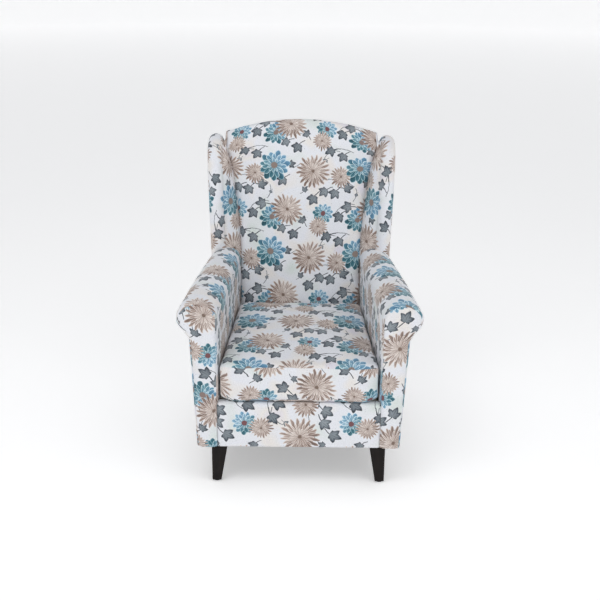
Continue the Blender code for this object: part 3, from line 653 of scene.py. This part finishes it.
def print_place(u, v, motif, turn, repeat):
    angle, size = -math.radians(turn), REPEAT / repeat
    return (
        (u * math.cos(angle) - v * math.sin(angle)) * size + motif[0] * MM,
        (u * math.sin(angle) + v * math.cos(angle)) * size + motif[1] * MM,
    )


def finish_piece(obj, cloth, body, slot, *nodes):
    """Gives a piece its cloth and its body, and hides the frame nodes that it stands for; its slot is not used."""
    obj.data.materials.append(cloth)
    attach(obj, body)
    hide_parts(*nodes)
    return obj


def inside_back(cloth):
    """The back's cover: crowned across, rolled over the crest, and pulled into the creases beside the wings."""

    def place(t, s):
        u = -1 + 2 * s
        depth, z = curve_at(BACK_PROFILE, t)
        arch, top = arched(z), smooth((t - 0.80) / 0.06)
        x = u * (back_half(z) + 0.002)
        sink = BACK_SINK * u * u * (1 - arch)
        tuck = 0.013 * max(0.0, (abs(u) - 0.90) / 0.10) ** 2.2 * (1 - 0.5 * top)
        swell = 0.006 * (1 - u * u) * (1 - top)
        pull = 0.0016 * wrinkle(Vector((x * 1.2, 0, z * 2.2)), 0.055, 3) * (0.4 + abs(u) ** 3)
        seam = 0.0022 * math.exp(-(((t - 0.852) / 0.0045) ** 2))
        fall = crest_drop(x) * arch + (tuck + seam) * top
        return point(x, depth + sink + (tuck + seam) * (1 - top) - swell + pull, z - fall)

    rows = grid(128, 68, place)
    uv = lay_cloth(rows, 34, 34, point(-0.096, 0.675, 0.917), BLUE_LARGE, -2.2, 0.310)
    obj = panel("inside_back", rows, uv, Vector((0, 0.6, 0.7)), cloth, "back_pad")


def wing_rim(t):
    """Depth and height of the wing's edge, and the way from it into the wing."""
    ahead, behind = curve_at(WING_EDGE, min(1, t + 0.01)), curve_at(WING_EDGE, max(0, t - 0.01))
    run, rise = ahead[0] - behind[0], ahead[1] - behind[1]
    length = math.hypot(run, rise)
    return *curve_at(WING_EDGE, t), (rise / length, -run / length)


def wing_place(side, t, s):
    """A place on a wing: t up its edge, and s from the crease (0) over the rolled edge to the outside (1)."""
    ed, ez, inward = wing_rim(t)
    roll, (starts, ends) = WING_ROLL, WING_TURN
    sd, sz = ed + inward[0] * roll, ez + inward[1] * roll
    root_depth, root_z = curve_at(BACK_PROFILE, WING_FIRST + (1 - WING_FIRST) * t)
    arch = arched(root_z)
    root = Vector((back_half(root_z), root_depth + BACK_SINK * (1 - arch), root_z - CREST_DROP * arch))
    if s < starts:
        inner = Vector((side_x(sz) - 2 * roll, sd, sz))
        share = s / starts
        place = root.lerp(inner, share)
        swell = 0.010 * math.sin(math.pi * share) ** 0.8
        place += Vector((-0.75, -0.6, 0)) * swell
    elif s < ends:
        angle = math.pi * (s - starts) / (ends - starts)
        along = math.sin(angle)
        z = sz + (ez - sz) * along
        place = Vector((side_x(z) - roll - math.cos(angle) * roll, sd + (ed - sd) * along, z))
    else:
        td, tz = ed + inward[0] * WING_LEG, ez + inward[1] * WING_LEG
        share = (s - ends) / (1 - ends)
        z = sz + (tz - sz) * share
        place = Vector((side_x(z) + 0.001 * (1 - share) - 0.002 * share**6, sd + (td - sd) * share, z))
    return point(side * place.x, place.y, place.z)


def wing(cloth, label, side):
    """A wing: a flared pad with a rolled edge, gathered into small pleats where it turns over the top."""

    def place(t, s):
        spot, middle = wing_place(side, t, s), wing_place(side, t, 0.35)
        top = smooth((t - 0.62) / 0.12)
        roll = math.exp(-(((s - 0.60) / 0.16) ** 2))
        pleat = abs(math.sin(math.pi * (t - 0.62) * 17)) ** 0.6 - 0.6
        outwards = (spot - point(side * 0.29, middle.y - FRONT + 0.05, middle.z - 0.02)).normalized()
        spot = spot + outwards * (0.0016 * pleat * top * roll)
        return spot + outwards * 0.0012 * wrinkle(spot, 0.05, 5 + side)

    rows = grid(110, 54, place)
    # The cloth goes on down into the crease beside the back.
    for row in rows:
        room = max(0.0, outer_back(row[0].z) - 0.012 - (row[0].y - FRONT))
        deep, near = min(0.030, 0.8 * room), min(0.014, 0.4 * room)
        row[:0] = [row[0] + Vector((-side * 0.010, deep, 0)), row[0] + Vector((-side * 0.004, near, 0))]
    last = rows[-1]
    end = sum(last, Vector()) / len(last)
    for share, back in ((0.12, 0.0010), (0.45, 0.0020), (0.80, 0.0022), (0.97, 0.0022)):
        rows.append([p.lerp(end, share) + Vector((0, back, -0.002 * share)) for p in last])
    uv = lay_cloth(rows, 2, 26, point(side * 0.262, 0.62, 0.795), BLUE_LARGE, -side * 90, 0.310, side)
    obj = panel(f"wing_{label}", rows, uv, point(side * 0.285, 0.70, 0.80), cloth, f"wing_pad_{label}")


def outside_wing(cloth, label, side):
    """The flat panel behind a wing's roll."""
    rim = []
    for i in range(60):
        ed, ez, inward = wing_rim(i / 59)
        rim.append((ed + inward[0] * (WING_LEG - 0.002), ez + inward[1] * (WING_LEG - 0.002)))
    foot, top = SEAM_Z[1] - 0.004, max(z for _, z in rim) - 0.0015

    def place(up, share):
        z = mix((foot, top), up)
        front = min((d for (d, rz), (_, nz) in zip(rim, rim[1:]) if rz <= z <= nz), default=rim[0][0])
        bulge = 0.0025 * math.sin(math.pi * share) ** 0.7 * math.sin(math.pi * up) ** 0.5
        return point(side * (side_x(z) + bulge - 0.0005), mix((front, outer_back(z) - 0.001), share), z)

    rows = grid(40, 20, place)
    uv = lay_cloth(rows, 0, 0, rows[20][10], TAUPE_RIGHT, 0, flip=side)
    inner = point(side * 0.25, 0.70, 0.80)
    obj = panel(f"outside_wing_cover_{label}", rows, uv, inner, cloth, f"outside_wing_{label}")
    stretched(obj, rows, f"wing_board_{label}")


def arm(cloth, label, side):
    """An arm's cover: up the inside, over the roll, and rounded over at the front to meet the facing."""

    def place(share, t):
        depth = 0.002 + 0.618 * share**1.25
        easing = ARM_EASE - math.sqrt(max(0.0, ARM_EASE**2 - max(0.0, ARM_EASE - depth) ** 2))
        x, z = arm_section(min(depth, ARM_END), easing, t)
        out = Vector((x - 0.317, z - 0.56)).normalized()
        hump = 0.004 * math.sin(math.pi * min(1.0, depth / ARM_END)) * smooth((t - 0.35) / 0.3)
        ripple = 0.0013 * wrinkle(Vector((t * 0.5, depth * 0.8, side)), 0.05, 9)
        gather = 0.0011 * math.sin(t * 96.6) * smooth((t - 0.45) / 0.1) * math.exp(-depth / 0.035)
        grow = hump + ripple + gather
        return point(side * (x + out.x * grow), depth, z + out.y * grow)

    rows = grid(76, 84, place)
    uv = lay_cloth(rows, 0, 50, *ARM_PRINT[side], flip=-side)
    obj = panel(f"arm_cover_{label}", rows, uv, point(side * 0.30, 0.30, 0.45), cloth, f"arm_pad_{label}")


def facing_reach(z):
    """Inner and outer x of the arm's front at a height."""
    centre, wide = (ARM_INNER[0] + ARM_OUTER[0]) / 2, (ARM_OUTER[0] - ARM_INNER[0]) / 2
    middle = ARM_TOP - ROLL_HALF_HEIGHT
    rise = (z - middle) / ROLL_HALF_HEIGHT
    reach = math.sqrt(max(0.0, 1 - rise * rise))
    inner = ARM_INNER[0] if rise < 0 else centre - wide * reach
    tuck = math.sin(math.radians(ROLL_END_ANGLE[0]))
    if rise > tuck:
        outer = centre + wide * roll_reach(reach, rise)
    else:
        wall = mix(WALL_X, (z - BASE_Z) / (WALL_TOP - BASE_Z))
        under = middle + ROLL_HALF_HEIGHT * tuck
        outer = wall + (centre + wide * 0.5**ROLL_FULLNESS - wall) * smooth((z - under + 0.034) / 0.034)
    return inner, outer


def arm_facing(cloth, label, side):
    """The front of an arm: a padded panel, puffed between its seams."""
    inset, middle = FACING_INSET, ARM_TOP - ROLL_HALF_HEIGHT

    def place(up, s):
        u = -1 + 2 * s
        z = BASE_Z + (ARM_TOP - inset - BASE_Z) * (1 - (1 - up) ** 1.35)
        # Above its middle the roll's outline is drawn in by the inset.
        stretch = ROLL_HALF_HEIGHT / (ROLL_HALF_HEIGHT - inset) if z > 0.59 else 1
        inner, outer = facing_reach(middle + (z - middle) * stretch)
        inner, outer = inner + inset * 0.4, outer - inset
        half = (outer - inner) / 2
        x = (inner + outer) / 2 + u * half
        edge = min((1 - abs(u)) * half, ARM_TOP - inset - z)
        puff = 0.0075 * smooth(edge / 0.016) ** 0.6
        lump = 0.0010 * wrinkle(Vector((x, 0, z * 0.7)), 0.045, 12 + side)
        return point(side * x, 0.0045 - puff + lump, z)

    rows = grid(84, 26, place)
    uv = lay_cloth(rows, 13, 13, *FACING_PRINT[side], flip=side)
    obj = panel(f"arm_front_{label}", rows, uv, point(side * 0.30, 0.30, 0.45), cloth, f"arm_facing_{label}")


def outside_arm(cloth, label, side):
    """The outside of an arm, from the facing's seam to the back, closed under the roll."""

    def place(up, share):
        depth = 0.0035 + (outer_back(BASE_Z) - 0.0035) * share
        top = mix(SEAM_Z, min(1.0, depth / ARM_END)) + 0.004
        z = mix((BASE_Z, top), up)
        if share > 0.9:
            depth += (outer_back(z) - outer_back(BASE_Z)) * smooth((share - 0.9) / 0.1) - 0.001
        edge = min(share, 1 - share) * 0.66
        bulge = 0.003 * smooth(edge / 0.08) * math.sin(math.pi * up) ** 0.5
        round_front = 0.005 * (1 - min(1.0, (depth - 0.0035) / 0.008)) ** 2
        return point(side * (wall_x(depth, z) + bulge - round_front), depth, z)

    rows = grid(48, 60, place)
    uv = lay_cloth(rows, 0, 0, rows[24][30], BLUE_LARGE, 0, flip=side)
    obj = panel(f"outside_arm_cover_{label}", rows, uv, point(0, 0.35, 0.40), cloth, f"outside_arm_{label}")
    stretched(obj, rows, f"arm_rail_{label}", f"side_rail_{label}")


def outside_back(cloth):
    """The outside back: one flat panel, slightly slack between its edges."""

    def place(up, s):
        u = -1 + 2 * s
        top = OUTER_BACK[1][1] + 0.002 - crest_drop(u * SIDE_X[1]) * 1.08
        z = mix((BASE_Z, top), up)
        slack = 0.0035 * (1 - u**4) * math.sin(math.pi * up) ** 0.6
        slack += 0.0012 * wrinkle(Vector((u * 0.33, 0, z * 0.5)), 0.06, 21)
        return point(u * (side_x(z) - 0.001), outer_back(z) + slack - 0.001, z)

    rows = grid(70, 60, place)
    uv = lay_cloth(rows, 30, 30, rows[50][24], TAUPE_RIGHT, 0, flip=-1)
    obj = panel("outside_back_cover", rows, uv, point(0, 0.30, 0.6), cloth, "outside_back")
    stretched(obj, rows, "crest_rail", "rear_rail", "back_post_left", "back_post_right")


def front_border(cloth):
    """The cloth over the front rail: down its face and turned under, and back over the lip beneath the cushion."""
    half = mix(ARM_INNER, 0.0335 / ARM_END) + 0.0042
    turned_under = ((0.030, BASE_Z + 0.002), (0.006, BASE_Z + 0.0005), (0.0015, BASE_Z + 0.004))
    face = ((0.0005, 0.20), (0.0005, 0.26), (0.002, 0.288))
    lip = ((0.007, 0.2965), (0.016, 0.2982), (0.0335, 0.2980))

    def place(t, s):
        u = -1 + 2 * s
        depth, z = curve_at(turned_under + face + lip, t)
        dent = 0.0035 * max(0.0, (abs(u) - 0.975) / 0.025) ** 2
        puff = 0.0022 * (1 - abs(u) ** 10) * math.sin(math.pi * clamp((z - BASE_Z) / 0.15))
        lump = 0.0008 * wrinkle(Vector((u * 0.25, 0, z)), 0.05, 31)
        return point(u * half, depth + dent - puff + lump, z)

    rows = grid(70, 60, place)
    uv = lay_cloth(rows, 30, 30, point(-0.170, 0, 0.232), BLUE_SMALL, 90, 0.342)
    obj = panel("front_border_cover", rows, uv, point(0, 0.30, 0.22), cloth, "front_border")
    stretched(obj, rows, "front_rail")


def cushion_place(u, v, level):
    """A point of the cushion: u across and v from front to back, -1 to 1; level is 0 at the foot and 1 at the top."""
    near, rear = CUSHION_FRONT + CUSHION_SHRINK, mix(CUSHION_REAR, level) - CUSHION_SHRINK
    t = 0.5 + 0.5 * v * (1 - 0.05 * abs(u) ** 6)
    depth = near + (rear - near) * t
    half = mix(CUSHION_HALF, depth / ARM_END) - CUSHION_SHRINK
    x = u * half * (1 - 0.004 * abs(v) ** 16)
    # The fill doesn't reach into its front corners, so its foot lifts there.
    lift = 0.017 * smooth((abs(u) - 0.80) / 0.26) * (1 - smooth((depth - near) / 0.07))
    top = CUSHION_EDGE + CUSHION_RISE * t - CUSHION_SHRINK
    return point(x, depth, mix((CUSHION_FOOT + 0.001 + lift, top), level))


def seat_cushion(cloth):
    """The loose seat cushion: top and bottom sewn to a boxing strip, blown up with Cloth, then its seams pinched."""
    n, deep = CUSHION_CELLS, BOXING_CELLS
    bm = bmesh.new()
    layer = bm.loops.layers.uv.new("cloth")

    def on_top(back, across):
        u, v = -1 + 2 * across, -1 + 2 * back
        place = cushion_place(u, v, 1)
        place.z += CUSHION_CROWN * (1 - abs(u) ** 2.6) * (1 - abs(v) ** 2.6)
        return bm.verts.new(place)

    def beneath(back, across, level=0):
        return bm.verts.new(cushion_place(-1 + 2 * across, -1 + 2 * back, level))

    top, bottom = grid(n, n, on_top), grid(n, n, beneath)

    def face(corners, places):
        made = bm.faces.new(corners)
        made.smooth = True
        for loop, place in zip(made.loops, places):
            loop[layer].uv = place

    def seat_uv(vert):
        return print_place(vert.co.x + 0.1625, vert.co.y - FRONT - 0.33, BLUE_LARGE, 0, 0.330)

    for rows, way in ((top, 1), (bottom, -1)):
        for j in range(n):
            for i in range(n):
                quad = [rows[j][i], rows[j][i + 1], rows[j + 1][i + 1], rows[j + 1][i]][::way]
                face(quad, [seat_uv(v) for v in quad])
    ring = [(i, 0) for i in range(n)] + [(n, j) for j in range(n)]
    ring += [(i, n) for i in range(n, 0, -1)] + [(0, j) for j in range(n, 0, -1)]
    layers = [[bottom[j][i] for i, j in ring]]
    for k in range(1, deep):
        layers.append([beneath(j / n, i / n, k / deep) for i, j in ring])
    layers.append([top[j][i] for i, j in ring])
    arounds = [0.0]
    for a, b in zip(layers[0], layers[0][1:] + layers[0][:1]):
        arounds.append(arounds[-1] + (b.co - a.co).length)
    half_front = arounds[n] / 2
    for k in range(deep):
        for m in range(len(ring)):
            after = (m + 1) % len(ring)
            quad = [layers[k][m], layers[k][after], layers[k + 1][after], layers[k + 1][m]]
            places = []
            for around, up in ((arounds[m], k), (arounds[m + 1], k), (arounds[m + 1], k + 1), (arounds[m], k + 1)):
                height = up / deep * (CUSHION_EDGE - CUSHION_FOOT)
                places.append(print_place(around - half_front - 0.056, height - 0.0505, TAUPE_RIGHT, -90, 0.335))
            face(quad, places)
    bm.normal_update()
    obj = as_object("seat_cushion", bm)
    inflate(obj, CUSHION_BLOWN)
    pinch_cushion(obj, n)
    finish_piece(obj, cloth, "seat_cushion", "cloth", "seat_cushion_cover", "seat_foam")
    smoother = obj.modifiers.new("smoother", "SUBSURF")
    smoother.levels = smoother.render_levels = 1


def inflate(obj, most):
    """Cloth with pressure for 20 frames, gravity off. No point moves further than most."""
    scene = bpy.context.scene
    start = [v.co.copy() for v in obj.data.vertices]
    change = obj.modifiers.new("blow_up", "CLOTH")
    settings = change.settings
    settings.quality = 5
    settings.mass = 0.3
    settings.tension_stiffness = settings.compression_stiffness = 12
    settings.shear_stiffness = 5
    settings.bending_stiffness = 0.4
    settings.use_pressure = True
    settings.uniform_pressure_force = 4
    settings.effector_weights.gravity = 0
    change.point_cache.frame_start, change.point_cache.frame_end = 1, 20
    for number in range(1, 21):
        scene.frame_set(number)
    evaluated = obj.evaluated_get(bpy.context.evaluated_depsgraph_get())
    moved = [v.co.copy() for v in evaluated.data.vertices]
    obj.modifiers.remove(change)
    scene.frame_set(1)
    for vert, old, new in zip(obj.data.vertices, start, moved):
        step = new - old
        # Its sides are held out by the arms and by its fill, so they draw in hardly at all.
        for axis, middle in ((0, 0.0), (1, FRONT + CUSHION_MIDDLE)):
            if step[axis] * (old[axis] - middle) < 0:
                step[axis] *= 0.12
        if step.length > most:
            step *= most / step.length
        vert.co = old + step


def pinch_cushion(obj, n):
    """Pulls in the seams along the boxing, puckers the cloth, and keeps the cushion within its neighbours."""
    side = n + 1
    seams = set()
    for first in (0, side * side):
        for i in range(side):
            seams |= {first + i, first + n * side + i, first + i * side, first + i * side + n}
    centre = Vector((0, FRONT + CUSHION_MIDDLE, 0.36))
    normals = [v.normal.copy() for v in obj.data.vertices]
    for vert, normal in zip(obj.data.vertices, normals):
        if vert.index in seams:
            inwards = centre - vert.co
            inwards.x *= 0.3
            inwards.z *= 0.25
            vert.co += inwards.normalized() * 0.0030
        else:
            broad, fine = wrinkle(vert.co, 0.075, 61), wrinkle(vert.co, 0.022, 67)
            vert.co += normal * (0.0024 * broad + 0.0007 * fine)
        depth = vert.co.y - FRONT
        room = mix(ARM_INNER, max(0.0, depth) / ARM_END) - 0.0008
        vert.co.x = max(-room, min(room, vert.co.x))
        behind = curve_at(BACK_PROFILE, 0.12 * clamp((vert.co.z - BACK_FOOT) / 0.11))[0] - 0.004
        vert.co.y = min(vert.co.y, FRONT + behind)
        vert.co.z = max(vert.co.z, CUSHION_FOOT + 0.0002)


def seat_deck(cloth):
    """The deck under the cushion: lining cloth stretched over a thin pad."""
    low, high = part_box("seat_deck")

    def place(up, s):
        u, v = -1 + 2 * s, -1 + 2 * up
        depth = mix((low.y - FRONT, high.y - FRONT), up)
        drop = 0.004 * max(0.0, (max(abs(u), abs(v)) - 0.93) / 0.07) ** 2
        ripple = 0.0006 * abs(wrinkle(Vector((u * 0.25, depth, 0)), 0.05, 41))
        return point(u * (mix(ARM_INNER, depth / ARM_END) - 0.001), depth, high.z - 0.0005 - drop - ripple)

    rows = grid(40, 32, place)
    obj = panel("deck_cover", rows, lay_cloth(rows, 16, 16), point(0, 0.3, 0.1), cloth, "seat_deck", "felt")
    stretched(obj, rows, *(f"seat_spring_{number}" for number in range(1, 6)))


def dust_cover(cloth):
    """Black lining stapled under the frame, a little slack in the middle."""
    low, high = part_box("dust_cover")

    def place(up, s):
        u, v = -1 + 2 * s, -1 + 2 * up
        depth = mix((low.y - FRONT, high.y - FRONT), up)
        sag = 0.0012 * (1 - u**4) * (1 - v**4)
        ripple = 0.0003 * wrinkle(Vector((u * 0.3, depth, 0)), 0.04, 51)
        return point(u * (wall_x(depth, BASE_Z) - 0.006), depth, BASE_Z + 0.0022 - sag + ripple)

    rows = grid(48, 48, place)
    uv = lay_cloth(rows, 24, 24)
    obj = panel("under_lining", rows, uv, point(0, 0.3, 0.6), cloth, "dust_cover", "lining", 0.0006)


def dress_cad_nodes(finishes):
    """Gives every frame node that still shows its own finish."""
    for name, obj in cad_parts.items():
        obj.data.materials.clear()
        obj.data.materials.append(next(finish for start, finish in finishes if name.startswith(start)))


def studio():
    """Pale floor, soft lights and the camera."""
    scene = bpy.context.scene
    scene.view_settings.view_transform = "Standard"
    scene.view_settings.look = "None"
    # A wide round dish: flat out to 16 m, then curved up into its rim.
    bm = bmesh.new()
    bends = [math.pi / 2 * i / 10 for i in range(11)]
    rim = [(16 + 2 * math.sin(a), 2 - 2 * math.cos(a)) for a in bends] + [(18, 7.0)]
    middle = bm.verts.new((0, 0, 0))
    rings = []
    for radius, height in [(4, 0.0), *rim]:
        angles = [2 * math.pi * i / 72 for i in range(72)]
        rings.append([bm.verts.new((radius * math.cos(a), radius * math.sin(a), height)) for a in angles])
    for i in range(72):
        after = (i + 1) % 72
        bm.faces.new((middle, rings[0][i], rings[0][after]))
        for low, high in zip(rings, rings[1:]):
            bm.faces.new((low[i], high[i], high[after], low[after])).smooth = True
    floor = as_object("floor", bm)
    paint, tree, shader = material("studio_paint", roughness=0.9)
    link(tree, shader, {"Base Color": srgb("#fbfbfb"), "Emission Color": srgb("#ffffff"), "Emission Strength": 0.30})
    floor.data.materials.append(paint)
    world = bpy.data.worlds.new("studio")
    world.use_nodes = True
    link(world.node_tree, world.node_tree.nodes["Background"], {"Color": srgb("#fbfcff"), "Strength": 0.46})
    scene.world = world
    for name, place, power, width in (
        ("key_light", (-1.2, -1.7, 3.3), 25, 1.7),
        ("fill_light", (1.5, -1.6, 3.1), 18, 1.9),
    ):
        lamp = bpy.data.lights.new(name, "AREA")
        lamp.energy, lamp.size = power, width
        obj = bpy.data.objects.new(name, lamp)
        obj.location = place
        obj.rotation_euler = (Vector((0, 0, 0.55)) - Vector(place)).to_track_quat("-Z", "Y").to_euler()
        scene.collection.objects.link(obj)
    camera = bpy.data.cameras.new("camera")
    camera.sensor_width = 36.0
    camera.lens = CAMERA_LENS
    camera.clip_end = 50
    eye = bpy.data.objects.new("camera", camera)
    eye.location = CAMERA_PLACE
    tilt = Matrix.Rotation(math.radians(90 - CAMERA_DIP), 3, "X")
    eye.rotation_euler = (tilt @ Matrix.Rotation(math.radians(CAMERA_ROLL), 3, "Z")).to_euler()
    scene.collection.objects.link(eye)
    scene.camera = eye


def main():
    cotton = printed_cotton()
    inside_back(cotton)
    for dress in (wing, outside_wing, arm, arm_facing, outside_arm):
        for label, side in SIDES:
            dress(cotton, label, side)
    outside_back(cotton)
    front_border(cotton)
    seat_cushion(cotton)
    lining = plain_cloth("black_nonwoven_lining", "#0b0b0c", "#1a1a1c", 1.6 * MM)
    seat_deck(plain_cloth("undyed_deck_cotton", "#c9c1b2", "#ddd6c9", 1.4 * MM))
    dust_cover(lining)
    espresso = wood("espresso_stained_beech", "#0b0706", "#1a120f", 9 * MM, 0.5, 0.2)
    beech = wood("sawn_beech", "#a98659", "#cdb086", 12 * MM, 0.65)
    steel = spotted("drawn_spring_steel", "#6d7074", "#9a9da1", 2 * MM, 0.35, metallic=1.0, depth=0.05)
    finishes = (
        ("leg_bolt", steel),
        ("leg_", espresso),
        ("glide", spotted("moulded_glide_nylon", "#141415", "#202022", 1.5 * MM, 0.5)),
        ("seat_spring", steel),
        ("back_strap", plain_cloth("jute_webbing", "#8a6c42", "#b39463", 3 * MM)),
        ("cushion_zip", zip_tape()),
        ("zip_slider", steel),
        ("", beech),
    )
    dress_cad_nodes(finishes)
    studio()


main()
